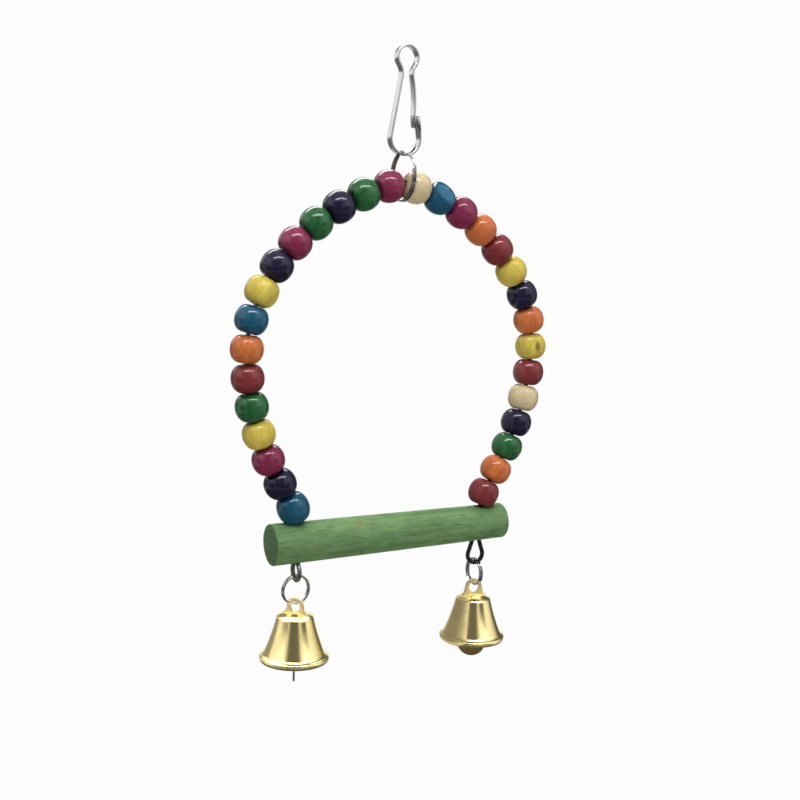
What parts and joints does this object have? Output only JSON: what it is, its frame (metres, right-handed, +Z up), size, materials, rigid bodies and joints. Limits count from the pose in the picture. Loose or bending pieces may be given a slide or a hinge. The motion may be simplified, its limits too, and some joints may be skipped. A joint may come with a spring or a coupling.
{
  "type": "bird swing",
  "caption": "Hanging bird swing and chew toy: a beaded wire arch on a spring clip and split ring, a wooden dowel perch and small bells hung below its ends.",
  "frame": {"origin": "inside top of the clip's small loop, where the cage bar bears", "axes": "+Z up along the hanging line, +X along the perch, +Y through the arch"},
  "size_m": [0.1078, 0.0228, 0.1944],
  "materials": {
    "nickel": "bright nickel plate with fine lengthwise drawing marks",
    "iron_wire": "dark bare drawn iron wire",
    "perch_stain": "matte green stain over open grain",
    "bell_brass": "polished thin brass plate",
    "clapper_brass": "dull dark stamped brass",
    "bead_magenta": "glossy lacquer over turned wood",
    "bead_green": "glossy lacquer over turned wood",
    "bead_purple": "glossy lacquer over turned wood",
    "bead_yellow": "glossy lacquer over turned wood",
    "bead_blue": "glossy lacquer over turned wood",
    "bead_orange": "glossy lacquer over turned wood",
    "bead_red": "glossy lacquer over turned wood",
    "bead_cream": "clear lacquer over pale bare wood"
  },
  "bodies": {
    "clip": {"clip_hook": "nickel"},
    "gate": {"clip_gate": "nickel"},
    "top_ring": {"top_split_ring": "nickel"},
    "frame": {"arch_wire": "iron_wire", "perch": "perch_stain"},
    "left_ring": {"left_bell_ring": "nickel"},
    "left_bell": {"left_bell_shell": "bell_brass", "left_bell_hanger": "bell_brass"},
    "left_striker": {"left_clapper_link": "clapper_brass", "left_clapper": "clapper_brass"},
    "right_ring": {"right_bell_ring": "nickel"},
    "right_bell": {"right_bell_shell": "bell_brass", "right_bell_hanger": "bell_brass"},
    "right_striker": {"right_clapper_link": "clapper_brass", "right_clapper": "clapper_brass"},
    "bead_left_01_spin": {"bead_left_01": "bead_magenta"},
    "bead_left_02_spin": {"bead_left_02": "bead_green"},
    "bead_left_03_spin": {"bead_left_03": "bead_purple"},
    "bead_left_04_spin": {"bead_left_04": "bead_green"},
    "bead_left_05_spin": {"bead_left_05": "bead_magenta"},
    "bead_left_06_spin": {"bead_left_06": "bead_purple"},
    "bead_left_07_spin": {"bead_left_07": "bead_yellow"},
    "bead_left_08_spin": {"bead_left_08": "bead_blue"},
    "bead_left_09_spin": {"bead_left_09": "bead_orange"},
    "bead_left_10_spin": {"bead_left_10": "bead_red"},
    "bead_left_11_spin": {"bead_left_11": "bead_green"},
    "bead_left_12_spin": {"bead_left_12": "bead_yellow"},
    "bead_left_13_spin": {"bead_left_13": "bead_magenta"},
    "bead_left_14_spin": {"bead_left_14": "bead_purple"},
    "bead_left_15_spin": {"bead_left_15": "bead_blue"},
    "bead_right_01_spin": {"bead_right_01": "bead_cream"},
    "bead_right_02_spin": {"bead_right_02": "bead_blue"},
    "bead_right_03_spin": {"bead_right_03": "bead_magenta"},
    "bead_right_04_spin": {"bead_right_04": "bead_orange"},
    "bead_right_05_spin": {"bead_right_05": "bead_red"},
    "bead_right_06_spin": {"bead_right_06": "bead_yellow"},
    "bead_right_07_spin": {"bead_right_07": "bead_purple"},
    "bead_right_08_spin": {"bead_right_08": "bead_orange"},
    "bead_right_09_spin": {"bead_right_09": "bead_yellow"},
    "bead_right_10_spin": {"bead_right_10": "bead_red"},
    "bead_right_11_spin": {"bead_right_11": "bead_cream"},
    "bead_right_12_spin": {"bead_right_12": "bead_purple"},
    "bead_right_13_spin": {"bead_right_13": "bead_green"},
    "bead_right_14_spin": {"bead_right_14": "bead_orange"},
    "bead_right_15_spin": {"bead_right_15": "bead_red"}
  },
  "joints": [
    {"name": "frame_swing", "type": "hinge", "parent": "top_ring", "child": "frame", "pos_m": [0, 0, -0.04071], "axis": [1, 0, 0], "range_deg": [-75, 75]},
    {"name": "ring_swing", "type": "hinge", "parent": "clip", "child": "top_ring", "pos_m": [0, 0, -0.027], "axis": [0, 1, 0], "range_deg": [-20, 20]},
    {"name": "gate_open", "type": "hinge", "parent": "clip", "child": "gate", "pos_m": [0.0015, 0, -0.0075], "axis": [0, 1, 0], "range_deg": [0, 14], "stiffness_Nm_per_rad": 0.3},
    {"name": "left_ring_swing", "type": "hinge", "parent": "frame", "child": "left_ring", "pos_m": [-0.03252, -0.0012, -0.16098], "axis": [0, 1, 0], "range_deg": [-45, 45]},
    {"name": "right_ring_swing", "type": "hinge", "parent": "frame", "child": "right_ring", "pos_m": [0.03132, 0, -0.16188], "axis": [1, 0, 0], "range_deg": [-45, 45]},
    {"name": "left_bell_swing", "type": "hinge", "parent": "left_ring", "child": "left_bell", "pos_m": [-0.03252, -0.0012, -0.16938], "axis": [0.9063, 0.4226, 0], "range_deg": [-35, 35]},
    {"name": "right_bell_swing", "type": "hinge", "parent": "right_ring", "child": "right_bell", "pos_m": [0.03132, 0, -0.17028], "axis": [0.2079, 0.9781, 0], "range_deg": [-35, 35]},
    {"name": "left_clapper_swing", "type": "hinge", "parent": "left_bell", "child": "left_striker", "pos_m": [-0.03252, -0.0012, -0.17648], "axis": [0.9063, 0.4226, 0], "range_deg": [-23, 23]},
    {"name": "right_clapper_swing", "type": "hinge", "parent": "right_bell", "child": "right_striker", "pos_m": [0.03132, 0, -0.17738], "axis": [0.2079, 0.9781, 0], "range_deg": [-20, 20]},
    {"name": "spin_left_01", "type": "hinge", "parent": "frame", "child": "bead_left_01_spin", "pos_m": [-0.00452, 0, -0.04145], "axis": [0.9759, 0, 0.2184], "continuous": true},
    {"name": "spin_left_02", "type": "hinge", "parent": "frame", "child": "bead_left_02_spin", "pos_m": [-0.01271, 0, -0.04419], "axis": [0.9212, 0, 0.3892], "continuous": true},
    {"name": "spin_left_03", "type": "hinge", "parent": "frame", "child": "bead_left_03_spin", "pos_m": [-0.02044, 0, -0.04808], "axis": [0.8612, 0, 0.5082], "continuous": true},
    {"name": "spin_left_04", "type": "hinge", "parent": "frame", "child": "bead_left_04_spin", "pos_m": [-0.02759, 0, -0.05297], "axis": [0.786, 0, 0.6183], "continuous": true},
    {"name": "spin_left_05", "type": "hinge", "parent": "frame", "child": "bead_left_05_spin", "pos_m": [-0.03402, 0, -0.05876], "axis": [0.6968, 0, 0.7173], "continuous": true},
    {"name": "spin_left_06", "type": "hinge", "parent": "frame", "child": "bead_left_06_spin", "pos_m": [-0.03962, 0, -0.06535], "axis": [0.5952, 0, 0.8036], "continuous": true},
    {"name": "spin_left_07", "type": "hinge", "parent": "frame", "child": "bead_left_07_spin", "pos_m": [-0.04425, 0, -0.07266], "axis": [0.464, 0, 0.8859], "continuous": true},
    {"name": "spin_left_08", "type": "hinge", "parent": "frame", "child": "bead_left_08_spin", "pos_m": [-0.04745, 0, -0.08068], "axis": [0.2739, 0, 0.9618], "continuous": true},
    {"name": "spin_left_09", "type": "hinge", "parent": "frame", "child": "bead_left_09_spin", "pos_m": [-0.04895, 0, -0.08919], "axis": [0.071, 0, 0.9975], "continuous": true},
    {"name": "spin_left_10", "type": "hinge", "parent": "frame", "child": "bead_left_10_spin", "pos_m": [-0.04876, 0, -0.09783], "axis": [-0.102, 0, 0.9948], "continuous": true},
    {"name": "spin_left_11", "type": "hinge", "parent": "frame", "child": "bead_left_11_spin", "pos_m": [-0.04742, 0, -0.10638], "axis": [-0.2076, 0, 0.9782], "continuous": true},
    {"name": "spin_left_12", "type": "hinge", "parent": "frame", "child": "bead_left_12_spin", "pos_m": [-0.04517, 0, -0.11475], "axis": [-0.3096, 0, 0.9509], "continuous": true},
    {"name": "spin_left_13", "type": "hinge", "parent": "frame", "child": "bead_left_13_spin", "pos_m": [-0.04206, 0, -0.12283], "axis": [-0.4081, 0, 0.9129], "continuous": true},
    {"name": "spin_left_14", "type": "hinge", "parent": "frame", "child": "bead_left_14_spin", "pos_m": [-0.03811, 0, -0.13054], "axis": [-0.5022, 0, 0.8648], "continuous": true},
    {"name": "spin_left_15", "type": "hinge", "parent": "frame", "child": "bead_left_15_spin", "pos_m": [-0.0338, 0, -0.13799], "axis": [-0.4048, 0, 0.9144], "continuous": true},
    {"name": "spin_right_01", "type": "hinge", "parent": "frame", "child": "bead_right_01_spin", "pos_m": [0.00452, 0, -0.04145], "axis": [-0.9759, 0, 0.2184], "continuous": true},
    {"name": "spin_right_02", "type": "hinge", "parent": "frame", "child": "bead_right_02_spin", "pos_m": [0.01271, 0, -0.04419], "axis": [-0.9212, 0, 0.3892], "continuous": true},
    {"name": "spin_right_03", "type": "hinge", "parent": "frame", "child": "bead_right_03_spin", "pos_m": [0.02044, 0, -0.04808], "axis": [-0.8612, 0, 0.5082], "continuous": true},
    {"name": "spin_right_04", "type": "hinge", "parent": "frame", "child": "bead_right_04_spin", "pos_m": [0.02759, 0, -0.05297], "axis": [-0.786, 0, 0.6183], "continuous": true},
    {"name": "spin_right_05", "type": "hinge", "parent": "frame", "child": "bead_right_05_spin", "pos_m": [0.03402, 0, -0.05876], "axis": [-0.6968, 0, 0.7173], "continuous": true},
    {"name": "spin_right_06", "type": "hinge", "parent": "frame", "child": "bead_right_06_spin", "pos_m": [0.03962, 0, -0.06535], "axis": [-0.5952, 0, 0.8036], "continuous": true},
    {"name": "spin_right_07", "type": "hinge", "parent": "frame", "child": "bead_right_07_spin", "pos_m": [0.04425, 0, -0.07266], "axis": [-0.464, 0, 0.8859], "continuous": true},
    {"name": "spin_right_08", "type": "hinge", "parent": "frame", "child": "bead_right_08_spin", "pos_m": [0.04745, 0, -0.08068], "axis": [-0.2739, 0, 0.9618], "continuous": true},
    {"name": "spin_right_09", "type": "hinge", "parent": "frame", "child": "bead_right_09_spin", "pos_m": [0.04895, 0, -0.08919], "axis": [-0.071, 0, 0.9975], "continuous": true},
    {"name": "spin_right_10", "type": "hinge", "parent": "frame", "child": "bead_right_10_spin", "pos_m": [0.04876, 0, -0.09783], "axis": [0.102, 0, 0.9948], "continuous": true},
    {"name": "spin_right_11", "type": "hinge", "parent": "frame", "child": "bead_right_11_spin", "pos_m": [0.04742, 0, -0.10638], "axis": [0.2076, 0, 0.9782], "continuous": true},
    {"name": "spin_right_12", "type": "hinge", "parent": "frame", "child": "bead_right_12_spin", "pos_m": [0.04517, 0, -0.11475], "axis": [0.3096, 0, 0.9509], "continuous": true},
    {"name": "spin_right_13", "type": "hinge", "parent": "frame", "child": "bead_right_13_spin", "pos_m": [0.04206, 0, -0.12283], "axis": [0.4081, 0, 0.9129], "continuous": true},
    {"name": "spin_right_14", "type": "hinge", "parent": "frame", "child": "bead_right_14_spin", "pos_m": [0.03811, 0, -0.13054], "axis": [0.5022, 0, 0.8648], "continuous": true},
    {"name": "spin_right_15", "type": "hinge", "parent": "frame", "child": "bead_right_15_spin", "pos_m": [0.0338, 0, -0.13799], "axis": [0.4048, 0, 0.9144], "continuous": true}
  ]
}
